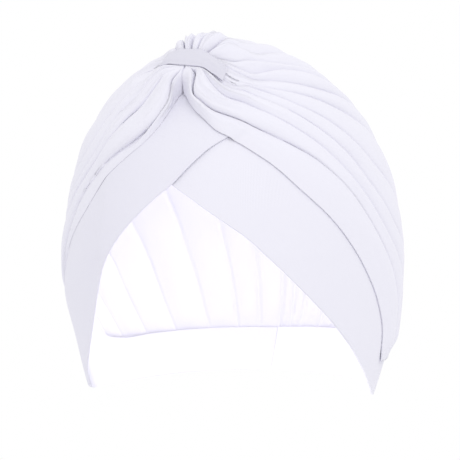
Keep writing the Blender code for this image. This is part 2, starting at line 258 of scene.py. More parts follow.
# %% Fold lines
LINE_AWAY = [0, 6, 10, 15, 22, 30, 38, 47, 58, 70, 85, 105, 130]
LINES_LEFT = [
    (0, 0, 0, 0, 0, 0, 0, 0, 0, 0, 0, 0, 0),
    (22, 22, 20, 17, 14, 13, 11, 10, 9, 8, 7, 6, 6),
    (44, 46, 44, 37, 29, 26, 21, 19, 17, 15, 13, 12, 12),
    (54, 51, 50, 48, 51, 43, 36, 31, 28, 25, 23, 22, 23),
    (62, 58, 62, 66, 60, 55, 50, 44, 38, 33, 30, 29, 31),
    (71, 68, 69, 73, 73, 62, 55, 50, 44, 39, 36, 35, 38),
    (81, 77, 78, 81, 80, 74, 68, 61, 53, 46, 42, 41, 45),
    (90, 86, 89, 91, 87, 82, 76, 70, 63, 57, 52, 50, 54),
    (98, 94, 97, 98, 91, 87, 84, 80, 76, 72, 66, 60, 63),
    (106, 101, 104, 104, 97, 93, 90, 87, 84, 82, 77, 69, 72),
    (112, 110, 117, 117, 108, 102, 98, 94, 91, 88, 84, 77, 81),
    (118, 126, 147, 139, 124, 113.5, 106.5, 101, 96.5, 93, 90, 85, 90),
]
LINES_RIGHT = [
    (0, 0, 0, 0, 0, 0, 0, 0, 0, 0, 0, 0, 0),
    (20, 20, 20, 20, 20, 20, 20, 20, 18, 15, 13, 12, 12),
    (38, 38, 37, 37, 37, 37, 37, 37, 34, 30, 26, 24, 24),
    (52, 51, 51, 52, 54, 57, 58, 58, 54, 48, 43, 39, 39),
    (64, 63, 63, 65, 71, 79, 82, 82, 77, 69, 61, 55, 55),
    (83, 83, 85, 89, 97, 99, 102, 101, 95, 87, 77, 69, 68),
    (100, 100, 103, 107, 109, 112, 113, 110, 104, 97, 89, 81, 79),
    (122, 122, 126, 128, 124, 121, 118, 114, 109, 102, 95, 87, 87),
    (150, 154, 162, 158, 147, 134, 125, 119, 114, 108, 101, 94, 95),
]
EDGE_AWAY = [0, 5, 6, 7.5, 10, 13, 17, 23, 28, 38, 53, 64, 81, 96, 105, 112, 180]
EDGE_LEFT = [179.5, 179.5, 178, 169, 161, 154, 146, 138, 130, 120, 112, 107, 102, 98, 97, 99, 106]
EDGE_RIGHT = [179.5, 179.5, 178, 170, 167, 164, 160, 152, 144, 132, 122, 114, 103, 97, 95, 96, 104]
LINES, EDGE = {LEFT: LINES_LEFT, RIGHT: LINES_RIGHT}, {LEFT: EDGE_LEFT, RIGHT: EDGE_RIGHT}
# Between these distances a valley goes over from its own angle to a share of the edge's, in hundredths
LINE_LATE, EDGE_WHOLE = (105.0, 150.0), 100.0


def lines_of(sign, away):
    """Angle about the knot of every valley and the edge of one side, at these distances from the knot."""
    edge = curve(away, EDGE_AWAY, EDGE[sign])
    late = smooth(away, *LINE_LATE)
    lines = []
    for row in LINES[sign]:
        line = curve(away, LINE_AWAY, row)
        lines.append(line * (1 - late) + late * row[-1] * edge / EDGE_WHOLE)
    return lines + [edge]


print("folds:", len(LINES[LEFT]), "on the wearer's left,", len(LINES[RIGHT]), "on the wearer's right")

# %% [markdown]
# ## How deep the valleys are, and how far the folds swell
# A valley is a short crease of its own depth and a fold is a slow swell between two of them. Both are deep
# near the knot and shallow where the cloth is stretched. Sculpting would leave creases softer than those
# of a pleat, so here each is the sum of a sharp cut and a wider dip. The valley behind the front roll is a
# real crevice.

# %% Valleys and folds
SHAPE_AWAY = [0, 12, 30, 50, 90, 180]
# Columns: depth in mm of the valley 12, 30, 50 and 90 degrees from the knot, then the swell of the fold
# after it at the same distances, then how much that fold leans over its second valley
SHAPES_LEFT = [
    (3.4, 1.4, 0.8, 1.0, 1.6, 1.2, 0.8, 0.9, 0.3), (2.0, 2.2, 1.2, 1.0, 2.0, 1.8, 0.9, 0.8, 0.8),
    (3.4, 3.2, 1.6, 1.1, 1.2, 2.2, 1.1, 0.8, 0.9), (3.0, 3.0, 1.7, 1.1, 2.0, 2.2, 1.3, 0.8, 1.0),
    (5.0, 3.8, 2.2, 1.3, 1.2, 1.6, 0.9, 0.7, 1.0), (4.2, 4.2, 2.9, 1.4, 1.2, 2.0, 1.5, 1.1, 1.0),
    (1.8, 3.0, 2.7, 1.6, 0.9, 1.4, 1.3, 1.0, 0.9), (1.7, 2.4, 2.3, 1.5, 0.6, 1.1, 1.2, 1.0, 0.7),
    (1.4, 1.3, 1.6, 1.4, 0.6, 0.7, 0.8, 0.9, 0.4), (1.3, 1.2, 1.5, 1.4, 0.8, 0.9, 0.8, 0.8, 0.3),
    (1.2, 0.8, 1.1, 1.3, 1.6, 1.2, 0.8, 0.8, 0.8), (5.6, 3.8, 1.0, 1.0, 0.0, 0.2, 0.3, 0.4, 0.0),
]
SHAPES_RIGHT = [
    (3.4, 1.6, 1.0, 1.2, 1.6, 1.0, 0.9, 0.9, 0.3), (3.4, 1.6, 1.1, 1.2, 1.2, 0.5, 0.9, 0.9, 0.4),
    (2.4, 1.9, 1.6, 1.2, 1.0, 0.4, 0.8, 0.9, 0.4), (2.0, 2.1, 2.0, 1.2, 0.6, 0.7, 0.9, 0.9, 0.6),
    (2.0, 2.4, 2.5, 1.3, 1.0, 1.0, 0.8, 0.9, 0.8), (1.7, 2.3, 2.4, 1.3, 0.9, 1.0, 0.8, 0.9, 0.7),
    (1.5, 2.0, 1.9, 1.1, 0.9, 1.0, 0.7, 0.8, 0.6), (0.9, 1.3, 1.4, 1.0, 1.8, 1.2, 0.7, 0.8, 1.0),
    (5.0, 4.6, 3.4, 1.4, 0.0, 0.2, 0.3, 0.4, 0.0),
]
DEPTHS, SWELLS, LEAN = slice(0, 4), slice(4, 8), 8
SHAPES = {LEFT: SHAPES_LEFT, RIGHT: SHAPES_RIGHT}
FRONT_FOLD = {LEFT: len(SHAPES_LEFT) - 1, RIGHT: len(SHAPES_RIGHT) - 1}


def by_distance(values, away):
    """One of the four-value tables above, at these distances from the knot."""
    return curve(away, SHAPE_AWAY, [values[0], *values, values[-1]])


print("deepest valley:", max(max(row[DEPTHS]) for rows in SHAPES.values() for row in rows), "mm")

# %% [markdown]
# ## The front roll
# The crown's front edge is turned in and rolls forward over the bands. Beside the knot it is nearly a round
# tube, and further on it flattens. It could be a tube of its own, but on the real cap it is the same cloth,
# so here it is the last fold of the crown's sheet.

# %% The front roll
# Its height in mm: a round tube at the knot, which goes over into a flat fold on the band
FRONT_TUBE, FRONT_FLAT, TUBE_ENDS = {LEFT: 3.4, RIGHT: 2.8}, {LEFT: 1.7, RIGHT: 0.5}, (13.0, 28.0)
# Powers that shape them: the tube's squareness and its sides, what is added for its front side between
# these distances so that it slopes gently, and the flat fold's drop to the edge
TUBE_SQUARE, TUBE_SIDES, TUBE_EASE, TUBE_EASES, FLAT_DROP = 2.4, 0.6, 0.4, (6.0, 11.0), 3.0


def front_roll(sign, step, away):
    """Height of the crown's front roll, whose step is 0 at the crevice and 1 at the crown's front edge."""
    sides = np.where(step > 0.5, TUBE_SIDES + TUBE_EASE * smooth(away, *TUBE_EASES), TUBE_SIDES)
    tube = FRONT_TUBE[sign] * (1.0 - np.abs(2.0 * step - 1.0) ** TUBE_SQUARE) ** sides
    flat = FRONT_FLAT[sign] * (1.0 - np.clip(step, 0, 1) ** FLAT_DROP)
    return flat + (tube - flat) * (1.0 - smooth(away, *TUBE_ENDS))


print("top of the front roll at the knot:", front_roll(LEFT, np.array(0.5), np.array(0.0)), "mm")

# %% Height of one fold
# Widths in mm of a crease's sharp cut and of its wide dip, and the cut's share of the depth
CREASE_WIDTHS, CREASE_SHARP = (0.45, 2.0), 0.5
# How much more of the crevice is sharp cut, and the distances from the knot where that fades
CREVICE_SHARP, CREVICE_FADES = 0.35, (28.0, 42.0)
# The fold behind the crevice ends in a rim: its height in mm, the power that makes it narrow, and the
# distances where it fades
RIM, RIM_NARROW, RIM_AWAY = 1.2, 4, (24.0, 42.0)
# The folds' common height at each distance of the table, and where the cloth starts to fold
BODY_LEVEL, FOLDS_START = [2.4, 2.4, 2.3, 2.2, 2.0, 1.8], (1.5, 8.0)


def relief(sign, fold, step, away, width):
    """Height of one fold of this width. step runs from 0 at its first valley to 1 at its second."""
    shapes, front = SHAPES[sign], FRONT_FOLD[sign]
    swell = by_distance(shapes[fold][SWELLS], away) * 4.0 * step * (1.0 - step)
    if fold == front - 1:
        swell = swell + RIM * step**RIM_NARROW * (1.0 - smooth(away, *RIM_AWAY))
    level = front_roll(sign, step, away) if fold == front else curve(away, SHAPE_AWAY, BODY_LEVEL)
    height = level + swell
    for valley, distance in ((fold, step * width), (fold + 1, (1.0 - step) * width)):
        if valley <= front:
            crevice = valley == front
            sharp = CREASE_SHARP + CREVICE_SHARP * crevice * (1.0 - smooth(away, *CREVICE_FADES))
            cut, dip = (np.exp(-distance / reach) for reach in CREASE_WIDTHS)
            depth = by_distance(shapes[valley][DEPTHS], away)
            height = height - depth * (sharp * cut + (1.0 - sharp) * dip)
    return height * smooth(away, *FOLDS_START)


SAMPLE_FOLD, SAMPLE_AWAY, SAMPLE_WIDTH = 4, np.array(20.0), 10.0
low, high = (relief(LEFT, SAMPLE_FOLD, np.array(step), SAMPLE_AWAY, SAMPLE_WIDTH) for step in (0.0, 0.5))
print("one fold rises from", low.round(2), "to", high.round(2), "mm")

# %% [markdown]
# ## A sheet from a grid
# A flat grid is the natural start for cloth: it has rows and columns, as a knit has courses and wales.
# Its corners are moved onto the form, its points that meet in one place are merged, and Solidify gives it
# a wall. Cloth simulation could drape it, but wouldn't place each pleat. The UV map is laid out in metres
# of cloth, so the knit keeps one scale on every piece.


# %% A grid laid on the form
def cloth_lengths(points):
    """Length of cloth along the rows and along the columns at each point, for the UV map."""
    along = np.linalg.norm(np.diff(points, axis=0), axis=-1).mean(axis=1)
    down = np.concatenate([[0.0], np.cumsum(along)])
    steps = np.linalg.norm(np.diff(points, axis=1), axis=-1)
    across = np.concatenate([np.zeros((len(points), 1)), np.cumsum(steps, axis=1)], axis=1)
    across -= across[:, [points.shape[1] // 2]]
    return across, np.repeat(down[:, None], points.shape[1], axis=1)


def grid_through(name, points):
    """A grid with its corners at these points in mm, and a UV map in metres of cloth."""
    rows, columns = points.shape[:2]
    bpy.ops.object.select_all(action="DESELECT")
    bpy.ops.mesh.primitive_grid_add(x_subdivisions=columns - 1, y_subdivisions=rows - 1, size=1)
    piece = bpy.context.object
    piece.name = piece.data.name = name
    piece.data.vertices.foreach_set("co", (points * MM).astype(np.float32).ravel())
    across, down = cloth_lengths(points * MM)
    corner = np.zeros(len(piece.data.loops), np.int32)
    piece.data.loops.foreach_get("vertex_index", corner)
    layout = np.stack([across.ravel()[corner], down.ravel()[corner]], -1)
    piece.data.uv_layers[0].name = "cloth"
    piece.data.uv_layers[0].data.foreach_set("uv", layout.astype(np.float32).ravel())
    return piece


# %% Close the grid and face it outward
MERGE_DISTANCE = 0.02 * MM


def edit_all():
    """Opens the active piece in edit mode with everything selected."""
    bpy.ops.object.mode_set(mode="EDIT")
    bpy.ops.mesh.select_all(action="SELECT")


def close_outward(piece):
    """Merges points that meet in one place and turns the faces away from the middle of the head."""
    edit_all()
    bpy.ops.mesh.remove_doubles(threshold=MERGE_DISTANCE)
    bpy.ops.mesh.normals_make_consistent(inside=False)
    bpy.ops.object.mode_set(mode="OBJECT")
    middle = Vector((0.0, 0.0, WIDEST_Z * MM))
    outward = sum((face.center - middle).dot(face.normal) * face.area for face in piece.data.polygons)
    if outward < 0:
        edit_all()
        bpy.ops.mesh.flip_normals()
        bpy.ops.object.mode_set(mode="OBJECT")


# %% Give the sheet its wall
INWARD = -1.0
ROUNDING_SEGMENTS = 3


def apply_last(piece):
    """Applies the modifier that was added last."""
    bpy.ops.object.modifier_apply(modifier=piece.modifiers[-1].name)


def make_sheet(name, points, wall, rounding=0.0, wall_share=None):
    """A sheet of cloth through a grid of points in mm, with its wall laid inward from them.

    wall_share makes the wall thinner at some points, and rounding is the radius of its edges.
    """
    piece = grid_through(name, points)
    if wall_share is not None:
        thickness = piece.vertex_groups.new(name="thickness")
        for index, share in enumerate(wall_share.ravel()):
            thickness.add([index], float(share), "REPLACE")
    close_outward(piece)
    bpy.ops.object.modifier_add(type="SOLIDIFY")
    piece.modifiers[-1].thickness = wall * MM
    piece.modifiers[-1].offset = INWARD
    if wall_share is not None:
        piece.modifiers[-1].vertex_group = thickness.name
    apply_last(piece)
    if rounding:
        bpy.ops.object.modifier_add(type="BEVEL")
        piece.modifiers[-1].width = rounding * MM
        piece.modifiers[-1].segments = ROUNDING_SEGMENTS
        piece.modifiers[-1].limit_method = "ANGLE"
        apply_last(piece)
    bpy.ops.object.shade_smooth()
    print(name, "has", len(piece.data.polygons), "faces")
    return piece


# %% [markdown]
# ## The crown's columns
# The crown is jersey whose pleats all start at the knot. An even grid would need very many faces to keep
# the valleys crisp. Here the grid's columns follow the valleys and stand closer together beside them. They
# also lean over a valley where the cloth overhangs it, which a plain height over the form couldn't do.

# %% Crown columns
FOLD_STEPS = 14
# How far a fold leans over its second valley, in mm at each distance of the table, and how far before the
# valley it leans most
OVERHANG, OVERHANG_REACH = [0.0, 1.0, 1.4, 0.4, 0.1, 0.0], 0.6
# A fold narrower than the first of these leans less, and none counts as narrower than the second
LEAN_WIDTH, THINNEST_FOLD = 4.0, 0.1


def crown_columns():
    """(side, fold, step) of each column, from the wearer's right edge over the top to the left edge."""
    steps = [0.5 - 0.5 * math.cos(math.pi * count / FOLD_STEPS) for count in range(FOLD_STEPS)]
    half = {}
    for sign, front in FRONT_FOLD.items():
        half[sign] = [(sign, fold, step) for fold in range(front + 1) for step in steps]
        half[sign].append((sign, front, 1.0))
    return half[RIGHT][::-1] + half[LEFT][1:]


def fold_width(turn, away):
    """Width in mm of a fold that spans this many degrees about the knot."""
    return turn * np.radians(1.0) * MM_PER_RADIAN_UP * np.sin(np.radians(away))


def column_path(column, away):
    """Angle about the knot and direction down one column, and the width in mm of the fold that it is in."""
    sign, fold, step = column
    lines = lines_of(sign, away)
    turn = lines[fold + 1] - lines[fold]
    width = fold_width(turn, away)
    before = (1.0 - step) * width / OVERHANG_REACH
    over = SHAPES[sign][fold][LEAN] * curve(away, SHAPE_AWAY, OVERHANG) * before * np.exp(1.0 - before)
    across = over * np.clip(width / LEAN_WIDTH, 0, 1) / np.maximum(width, THINNEST_FOLD)
    around = sign * (lines[fold] + turn * (step + across))
    return around, unit_from_knot(away, around), width


print("columns in the crown:", len(crown_columns()))

# %% [markdown]
# ## Small ripples
# Real pleats aren't machined: little pleats ride on them near the knot, and slower waves run further out.
# They could be a bump in the material, but they show in the outline and catch the light, so they are shape.
# Smooth noise gives them. It is stretched along the fold, so that it makes ridges and not lumps.

# %% Ripples
# Where the front edge starts, as a part of the front fold: there the cloth is thinner and stays smooth
EDGE_START = 0.35
# Small pleats and slower waves: how many to a fold, their length in degrees and their height in mm. The
# small ones lose some of it between these distances from the knot.
PLEATS, PLEAT_LENGTH, PLEAT_HEIGHT, PLEAT_LOSS, PLEAT_LOSES = 5.2, 15.0, 1.7, 1.4, (14.0, 38.0)
WAVES, WAVE_LENGTH, WAVE_HEIGHT = 1.3, 17.0, 0.8
RIPPLES_START, RIPPLES_END = (3.0, 9.0), (120.0, 150.0)
PLEAT_PATTERN, WAVE_PATTERN = 2.0, 7.0


def noise_at(across, along, pattern):
    """Smooth noise at each of these places. Each pattern number gives a pattern of its own."""
    spots = zip(across.ravel(), along.ravel())
    return np.array([noise.noise((u, v, pattern)) for u, v in spots]).reshape(across.shape)


def edge_share(sign, fold, step):
    """How near a column is to the crown's front edge: 0 on the crown, 1 at the edge."""
    return smooth(step, EDGE_START, 1.0) if fold == FRONT_FOLD[sign] else 0.0


def ripples(sign, fold, step, away):
    """Small pleats and slower waves that run along the folds."""
    place, far = np.broadcast_arrays(sign * (fold + step), away)
    pleats = noise_at(place * PLEATS, far / PLEAT_LENGTH, PLEAT_PATTERN)
    waves = noise_at(place * WAVES, far / WAVE_LENGTH, WAVE_PATTERN)
    pleat_height = PLEAT_HEIGHT - PLEAT_LOSS * smooth(away, *PLEAT_LOSES)
    size = smooth(away, *RIPPLES_START) * (1.0 - smooth(away, *RIPPLES_END))
    size = size * (1.0 - edge_share(sign, fold, step))
    return size * (pleat_height * pleats + WAVE_HEIGHT * waves)


print("ripples down one fold:", ripples(LEFT, SAMPLE_FOLD, 0.5, np.array(SHAPE_AWAY)).round(2), "mm")

# %% [markdown]
# ## The crown's height
# The crown's outer face is a sum, from the form outward: the bands, a seam gap, the cloth, the bundle, the
# folds and the ripples. Under the loop the folds are squeezed flat, and along the front edge the cloth is
# thinner and lies close to the band. It could be one long formula, but as a sum of named parts each part
# can be changed alone.

# %% Crown height
# The cloth's wall and the gap under it in mm, then both at the front edge
CLOTH, SEAM_GAP, EDGE_CLOTH, EDGE_GAP = 1.0, 0.25, {LEFT: 0.6, RIGHT: 0.15}, 0.06
# Between these distances from the knot the front edge comes down from the bundle onto the band
EDGE_COMES_DOWN = (3.5, 6.5)
# The loop's middle line and half width, as mm beside and up from the knot
LOOP_SIDE = [-14.0, -10.0, -3.0, 4.5, 9.0, 13.3, 16.4, 19.0]
LOOP_UP = [6.4, 5.9, 4.2, 3.0, 2.0, 0.3, -1.2, -2.6]
LOOP_HALF_WIDTH = [3.9, 4.6, 4.8, 4.8, 4.7, 4.4, 3.9, 3.0]
# The share of the folds that the loop presses flat, which fades over these mm from its middle line and
# these degrees from the knot
SQUEEZE, SQUEEZE_UP, SQUEEZE_AWAY = 0.7, (3.8, 6.6), (16.0, 22.0)


def crown_lift(sign, fold, step, away, around, unit, width):
    """Height of the crown's outer face over the form."""
    side, up = flat_place(away, around)
    near_edge = edge_share(sign, fold, step)
    from_loop = np.abs(up - curve(side, LOOP_SIDE, LOOP_UP))
    squeezed = SQUEEZE * (1.0 - smooth(from_loop, *SQUEEZE_UP)) * (1.0 - smooth(away, *SQUEEZE_AWAY))
    folds = relief(sign, fold, step, away, width) + ripples(sign, fold, step, away)
    bundle = bundle_height(side, up) * (1.0 - near_edge * smooth(away, *EDGE_COMES_DOWN))
    wall = CLOTH + (EDGE_CLOTH[sign] - CLOTH) * near_edge
    gap = SEAM_GAP + (EDGE_GAP - SEAM_GAP) * near_edge
    return bands_below(unit) + gap + wall + np.maximum(bundle + folds * (1.0 - squeezed), 0.0)


print("pressed quite flat, the crown would stand", CLOTH + SEAM_GAP, "mm over the bands")

# %% [markdown]
# ## Where the crown ends
# At the nape the crown is sewn to the bands. Its rows could be cut off there by a bisect, but the cut would
# leave a ragged edge. So each column is asked how far it is from the knot to the seam, and the rows are
# spread over that length.

# %% Where the crown meets the nape
# Its height at the nape's middle, and how much lower its corners are
NAPE_Z, NAPE_CORNER_DROP = -140.0, 8.0
# It is looked for at these distances from the knot
NAPE_SEARCH = (100.0, 173.0)


def nape_reach(column):
    """Degrees from the knot at which this column meets the nape band, found between steps of one degree."""
    away = np.arange(*NAPE_SEARCH)
    around, unit, _ = column_path(column, away)
    share = np.abs(around) / curve(away, EDGE_AWAY, EDGE[column[0]])
    height = on_form(unit, np.full(len(away), BAND_FACE + SEAM_GAP))[:, 2]
    above = height - (NAPE_Z - NAPE_CORNER_DROP * share**2)
    last = int(np.argmax(above < 0)) if (above < 0).any() else len(away) - 1
    return away[last - 1] + above[last - 1] / (above[last - 1] - above[last])


print("the middle column meets it", nape_reach((LEFT, 0, 0.0)).round(1), "degrees from the knot")

# %% Make the crown
# Rows crowd towards the knot. There they lie as for a column that reaches this many degrees, and further out
# they go over to each column's own reach.
CROWN_ROWS, ROW_CROWDING, USUAL_REACH = 160, 1.3, 121.0
# From this share of the rows on, the crown is pressed flush onto the nape band
TUCK_START = 0.965


def crown_points():
    """Outer face of the crown as a grid of points: rows away from the knot, columns about it."""
    row = np.linspace(0.0, 1.0, CROWN_ROWS)
    share = row**ROW_CROWDING
    grid = []
    for column in crown_columns():
        away = USUAL_REACH * share * (1.0 + (nape_reach(column) / USUAL_REACH - 1.0) * share**2)
        around, unit, width = column_path(column, away)
        lift = crown_lift(*column, away, around, unit, width)
        flush = bands_below(unit) + SEAM_GAP + CLOTH
        grid.append(on_form(unit, lift + (flush - lift) * smooth(row, TUCK_START, 1.0)))
    return np.array(grid).transpose(1, 0, 2)


crown_walls = []
for sign, fold, step in crown_columns():
    crown_walls.append(1.0 + (EDGE_CLOTH[sign] / CLOTH - 1.0) * edge_share(sign, fold, step))
crown_walls = np.broadcast_to(crown_walls, (CROWN_ROWS, len(crown_walls)))
crown = make_sheet("pleated_crown_cloth", crown_points(), CLOTH, wall_share=crown_walls)

# %% [markdown]
# ## The front bands
# Each band is a flat tube of the same jersey, smooth because it is stretched hardest. The one from the
# wearer's right crosses over the other, and its folded hem stands up a little where it is pulled tight
# across. A band could be a curve with a flat profile, but its two edges run their own ways, so it is a grid
# between them. Faint wrinkles only dip inward, so that they never reach the crown.

# %% Band shapes
BAND_ROWS, BAND_COLUMNS, HEM_CROWDING = 240, 29, 1.25
# The degrees round the head over which the over band rises onto the other
RISE_TURN = (-36.0, -28.0)
# The rim of its hem: mm high and wide, and the degrees over which it starts and ends
HEM_RIM, HEM_RIM_WIDTH, HEM_RIM_STARTS, HEM_RIM_ENDS = 0.45, 2.0, (-20.0, -4.0), (13.0, 20.0)
# Wrinkles: mm across, along and deep, where they start and end between hem and top edge, and their share on
# the over band
WRINKLE_ACROSS, WRINKLE_ALONG, WRINKLE_DEPTH = 26.0, 34.0, 0.45
WRINKLE_STARTS, WRINKLE_ENDS, OVER_WRINKLES = (0.0, 0.25), (0.45, 0.75), 0.25


def wrinkles(points, pattern):
    """Slow uneven ripples in mm for a grid of points."""
    across, along = cloth_lengths(points)
    return WRINKLE_DEPTH * noise_at(across / WRINKLE_ACROSS, along / WRINKLE_ALONG, pattern)


def band_points(table, pattern, is_over):
    """Outer face of a band: rows run round the head, columns from the hem to the top edge."""
    turns, hems, tops = band_columns(table)
    turn = np.linspace(turns[0], turns[-1], BAND_ROWS)[:, None]
    step = np.linspace(0.0, 1.0, BAND_COLUMNS)[None, :] ** HEM_CROWDING
    hem, top = curve(turn, turns, hems), curve(turn, turns, tops)
    height = hem + (top - hem) * step
    turn = np.broadcast_to(turn, height.shape)
    unit = unit_from_height(turn, height)
    lift = np.full(height.shape, BAND_FACE)
    if is_over:
        rim = HEM_RIM * np.exp(-(((height - hem) / HEM_RIM_WIDTH) ** 2))
        rim = rim * smooth(turn, *HEM_RIM_STARTS) * (1.0 - smooth(turn, *HEM_RIM_ENDS))
        lift = lift + LAYER * smooth(turn, *RISE_TURN) + rim
    dips = np.minimum(wrinkles(on_form(unit, lift), pattern), 0.0)
    quiet = smooth(step, *WRINKLE_STARTS) * (1.0 - smooth(step, *WRINKLE_ENDS))
    return on_form(unit, lift + dips * quiet * (OVER_WRINKLES if is_over else 1.0))


# %% Make the bands
# The over band is thinner, because it has to leave room for the other one under it
OVER_WALL, OVER_ROUNDING, OVER_PATTERN = 0.9, 0.35, 3.0
UNDER_WALL, UNDER_ROUNDING, UNDER_PATTERN = 1.4, 0.5, 5.0
over_points = band_points(BAND_OVER, OVER_PATTERN, is_over=True)
band_over = make_sheet("front_band_over_cloth", over_points, OVER_WALL, OVER_ROUNDING)
under_points = band_points(BAND_UNDER, UNDER_PATTERN, is_over=False)
band_under = make_sheet("front_band_under_cloth", under_points, UNDER_WALL, UNDER_ROUNDING)

# %% [markdown]
# ## The knot loop
# A narrow strip of jersey wraps the bundle once and is sewn shut behind it. It is pulled tight, so it lies
# against the highest folds, rounds off over both sides of the bundle and turns down on the wearer's left.
# A bent tube would float over the folds. So the crown's height is asked for under every point of the loop,
# and the strip bridges the dips between the peaks, as tight cloth does.


# %% What lies under the loop
def crown_top(side, up):
    """Direction, and height of the crown's outer face, at so many mm beside and up from the knot."""
    across, along = side / MM_PER_RADIAN_SIDE, up / MM_PER_RADIAN_UP
    away, around = np.degrees(np.hypot(across, along)), np.degrees(np.arctan2(across, along))
    unit = unit_from_knot(away, around)
    lift = np.zeros(side.shape)
    for sign in (LEFT, RIGHT):
        lines = lines_of(sign, away)
        for fold in range(len(lines) - 1):
            inside = (around * sign >= lines[fold]) & (around * sign <= lines[fold + 1])
            turn = lines[fold + 1] - lines[fold]
            step = np.clip((around * sign - lines[fold]) / turn, 0.0, 1.0)
            found = crown_lift(sign, fold, step, away, around, unit, fold_width(turn, away))
            lift = np.where(inside, np.maximum(lift, found), lift)
    return unit, lift


def pulled_over(heights, reach):
    """Heights of a cloth pulled one way over these: it bridges dips within this many rows of a peak."""
    steps = range(-reach, reach + 1)
    padded = np.pad(heights, ((2 * reach, 2 * reach), (0, 0)), mode="edge")
    bridged = np.max([np.roll(padded, step, axis=0) for step in steps], axis=0)
    mean = np.mean([np.roll(bridged, step, axis=0) for step in steps], axis=0)
    return mean[2 * reach:-2 * reach]


def tight_over(heights, reach):
    """The same for a cloth that is pulled both ways."""
    return pulled_over(pulled_over(heights, reach).T, reach).T


dip = np.array([[2.0], [0.0], [2.0]])
print("heights", dip.ravel(), "are bridged at", pulled_over(dip, 1).ravel())

# %% Loop shape
LOOP_ROWS, LOOP_COLUMNS, LOOP_WALL, LOOP_ROUNDING = 81, 25, 1.0, 0.2
# How sharply the border starts, at the long edges and at the ends. There the wall loses this share.
LONG_EDGE_POWER, END_POWER, LOOP_THINNING = 4, 12, 0.5
# Rows and columns that the cloth bridges, and that it always stays clear of
BRIDGE_REACH, CLEAR_REACH = 3, 2
# In mm: its rise over the bridged folds, and how far its edges roll down
LOOP_RISE, LOOP_EDGE_ROLL = 0.5, 1.8
# The gap in mm that always stays, what is added to it at the wearer's left end, and where
LOOP_GAP, LOOP_END_RISE, LOOP_END_SIDE = 0.15, 0.5, (12.5, 16.0)
# Slanted creases on its left part: their depth in mm, and how fast they change across and along the loop
CREASE, CREASE_ACROSS, CREASE_ALONG, CREASE_SIDE = 0.3, 7.0, 0.16, (0.0, 12.0)


def loop_edge():
    """How near each point of the loop is to its border: 0 in the middle, 1 at a long edge or an end."""
    along = np.linspace(-1.0, 1.0, LOOP_ROWS)[:, None]
    across = np.linspace(-1.0, 1.0, LOOP_COLUMNS)[None, :]
    return np.maximum(across**LONG_EDGE_POWER, along**END_POWER)


def loop_points(edge, wall_share):
    """Outer face of the loop: rows run over the bundle from side to side."""
    side = np.linspace(LOOP_SIDE[0], LOOP_SIDE[-1], LOOP_ROWS)[:, None]
    across = np.linspace(-1.0, 1.0, LOOP_COLUMNS)[None, :]
    up = curve(side, LOOP_SIDE, LOOP_UP) + curve(side, LOOP_SIDE, LOOP_HALF_WIDTH) * across
    unit, below = crown_top(np.broadcast_to(side, up.shape), up)
    crease = CREASE * np.sin(across * CREASE_ACROSS + side * CREASE_ALONG)
    crease = crease * smooth(side, *CREASE_SIDE) * (1.0 - across**2)
    seat = tight_over(below, BRIDGE_REACH) + LOOP_RISE + crease - LOOP_EDGE_ROLL * edge
    seat = np.maximum(seat, tight_over(below, CLEAR_REACH))
    gap = LOOP_GAP + LOOP_END_RISE * smooth(side, *LOOP_END_SIDE)
    return on_form(unit, seat + gap + LOOP_WALL * wall_share)


print("the loop reaches", LOOP_SIDE[-1] - LOOP_SIDE[0], "mm over the bundle")

# %% Make the loop
edge = loop_edge()
loop_walls = 1.0 - LOOP_THINNING * edge
loop = make_sheet("knot_loop_cloth", loop_points(edge, loop_walls), LOOP_WALL, LOOP_ROUNDING, loop_walls)

# %% [markdown]
# ## Arithmetic on sockets
# A material is maths on values that change over the surface. Its nodes could be added and linked one by
# one. Wrapping a socket in a small class lets that maths be written as ordinary sums, and each sum adds the
# node that does it.


# %% Node helpers
class Value:
    """A number in a material, which takes part in sums."""

    def __init__(self, socket):
        self.socket = socket

    def joined(self, operation, *others):
        """Adds the Math node that does this operation on the value and any others."""
        tree = self.socket.id_data
        node = tree.nodes.new("ShaderNodeMath")
        node.operation = operation
        for slot, term in zip(node.inputs, (self, *others)):
            if isinstance(term, Value):
                tree.links.new(term.socket, slot)
            else:
                slot.default_value = term
        return Value(node.outputs[0])

    def __add__(self, other):
        return self.joined("ADD", other)

    def __mul__(self, other):
        return self.joined("MULTIPLY", other)

    __radd__, __rmul__ = __add__, __mul__

    def sine(self):
        """The sine of the value, which is an angle in radians."""
        return self.joined("SINE")

    def size(self):
        """The value without its sign."""
        return self.joined("ABSOLUTE")


class Look:
    """A material in the making."""

    def __init__(self, name):
        self.material = bpy.data.materials.new(name)
        self.material.use_nodes = True
        self.tree = self.material.node_tree
        self.shader = self.tree.nodes["Principled BSDF"]

    def node(self, kind, settings=None, **sockets):
        """Adds a node: its settings first, then a value or a link for each socket that is named."""
        made = self.tree.nodes.new(kind)
        for name, value in (settings or {}).items():
            setattr(made, name, value)
        for name, value in sockets.items():
            self.plug(made.inputs[name.replace("_", " ")], value)
        return made

    def plug(self, slot, value):
        """Links a value or a socket to this slot, or sets the slot to a constant."""
        if isinstance(value, Value):
            self.tree.links.new(value.socket, slot)
        elif isinstance(value, bpy.types.NodeSocket):
            self.tree.links.new(value, slot)
        else:
            slot.default_value = value

    def finish(self, **sockets):
        """Sets or links the sockets of the shader itself, and gives back the material."""
        for name, value in sockets.items():
            self.plug(self.shader.inputs[name.replace("_", " ")], value)
        return self.material


# %% [markdown]
# ## Stretch jersey
# Jersey is a fine weft knit: its face shows thin upright wales, its back short courses. This one is a pale
# cool white with a soft bloom of fibres on it, so it scatters light widely and hardly shines. The stitches
# are far too small to model, so two sine waves on the UV map draw them as a tint and a bump. Two noises
# keep the cloth from looking painted: a slow one for uneven stretch, a fine one for stray fibres.

